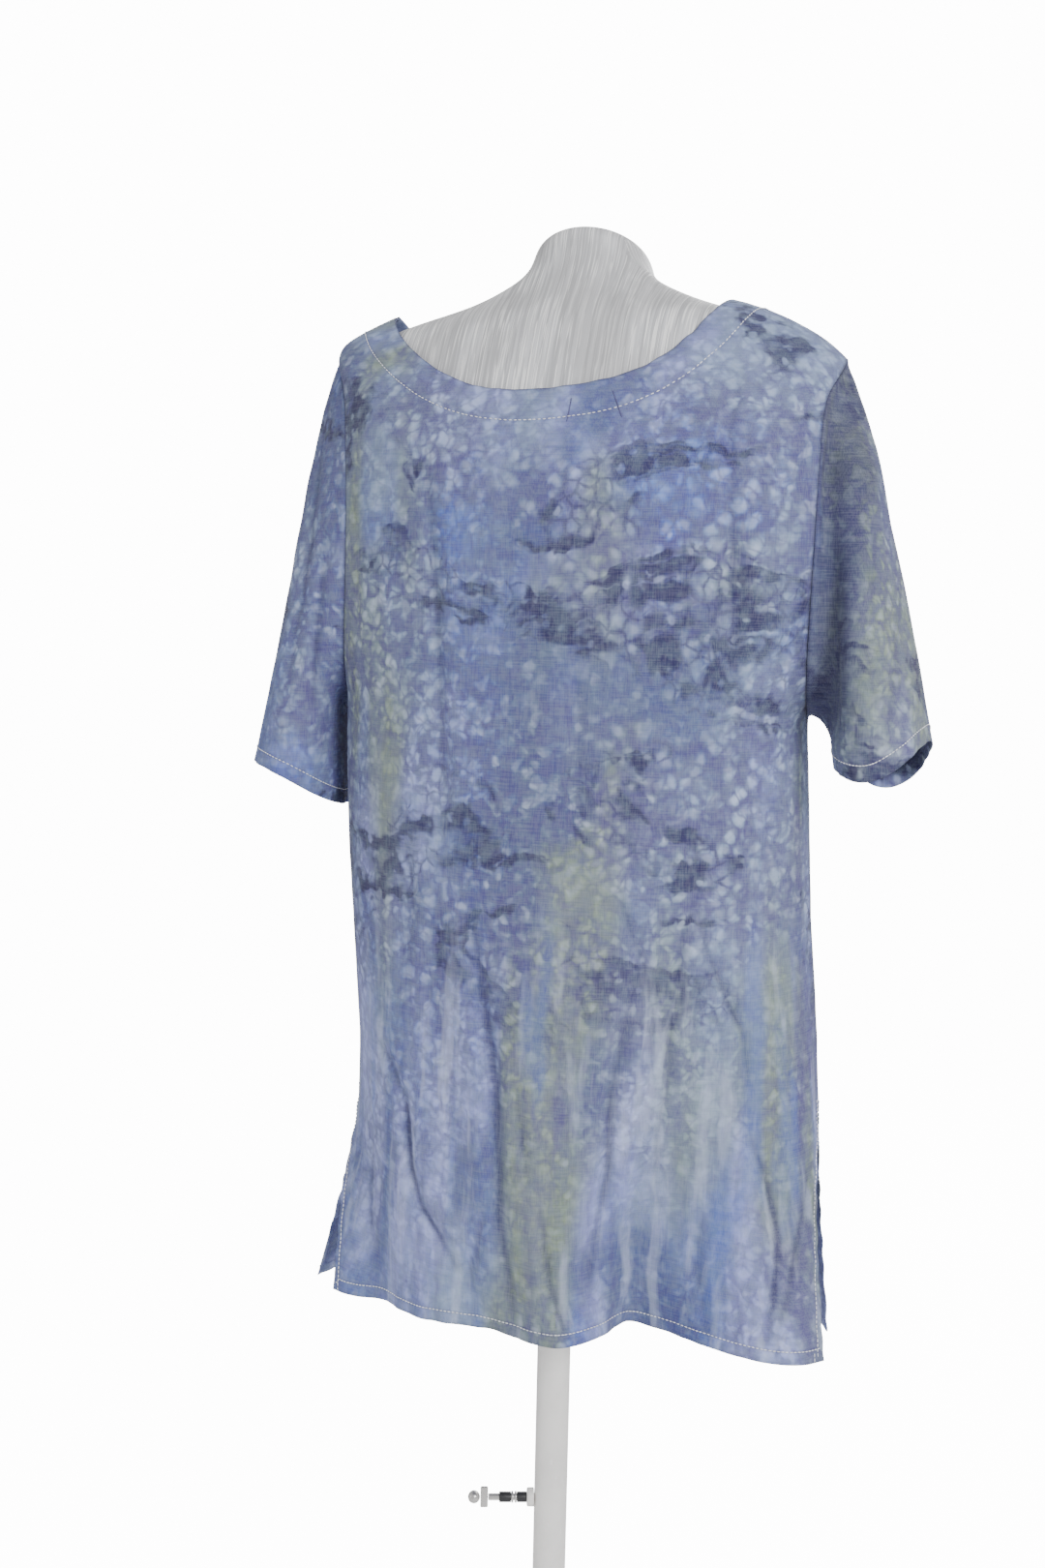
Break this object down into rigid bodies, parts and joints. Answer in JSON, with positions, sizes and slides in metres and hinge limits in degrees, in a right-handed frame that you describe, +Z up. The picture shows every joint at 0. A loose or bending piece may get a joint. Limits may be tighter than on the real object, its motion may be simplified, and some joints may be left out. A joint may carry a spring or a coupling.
{
  "type": "t-shirt on a dress form with a pole stand",
  "caption": "Wide elbow-sleeved tunic t-shirt with slit sides and a boat neckline, worn by a limbless torso form that turns on a height-adjustable pole stand.",
  "frame": {"origin": "middle of the underside of the round base, on the pole's axis", "axes": "+Z up the pole, +Y towards the front of the form and garment, -Y towards their back, which the picture shows, and +X to the right seen from the back"},
  "size_m": [0.6029, 0.32, 1.5674],
  "materials": {
    "dyed_cloth": "hand-dyed plain-weave cotton or linen, matte, mottled blue, lavender, indigo and sage",
    "facing_cloth": "the same dyed cloth, turned inside the neckline",
    "silver_shell": "silver-grey moulded shell with a fine upright brushed streak",
    "form_board": "grey painted board",
    "pole_paint": "warm white satin paint",
    "rod_steel": "brushed",
    "black_plastic": "matte black",
    "bright_chrome": "polished",
    "base_paint": "warm white satin paint"
  },
  "bodies": {
    "stand": {"base_plate": "base_paint", "base_flange": "base_paint", "pole": "pole_paint", "pole_collar": "black_plastic", "screw_boss": "pole_paint"},
    "clamp_screw": {"screw_shaft": "bright_chrome", "screw_grip_1": "black_plastic", "screw_grip_2": "black_plastic", "screw_ring_1": "bright_chrome", "screw_ring_2": "bright_chrome", "screw_wing": "bright_chrome", "screw_ball": "bright_chrome"},
    "rod": {"rod": "rod_steel"},
    "dressed_form": {"rod_socket": "rod_steel", "form_board": "form_board", "dress_form": "silver_shell", "tunic_back": "dyed_cloth", "tunic_front": "dyed_cloth", "sleeve_left": "dyed_cloth", "sleeve_right": "dyed_cloth", "neck_facing": "facing_cloth"}
  },
  "joints": [
    {"name": "height_slide", "type": "slide", "parent": "stand", "child": "rod", "axis": [0, 0, 1], "range_m": [-0.13, 0.3]},
    {"name": "form_swivel", "type": "hinge", "parent": "rod", "child": "dressed_form", "pos_m": [0, 0, 0.94], "axis": [0, 0, 1], "continuous": true},
    {"name": "clamp_turn", "type": "hinge", "parent": "stand", "child": "clamp_screw", "pos_m": [0, 0, 0.434], "axis": [-0.9397, -0.342, 0], "range_deg": [0, 720]}
  ]
}
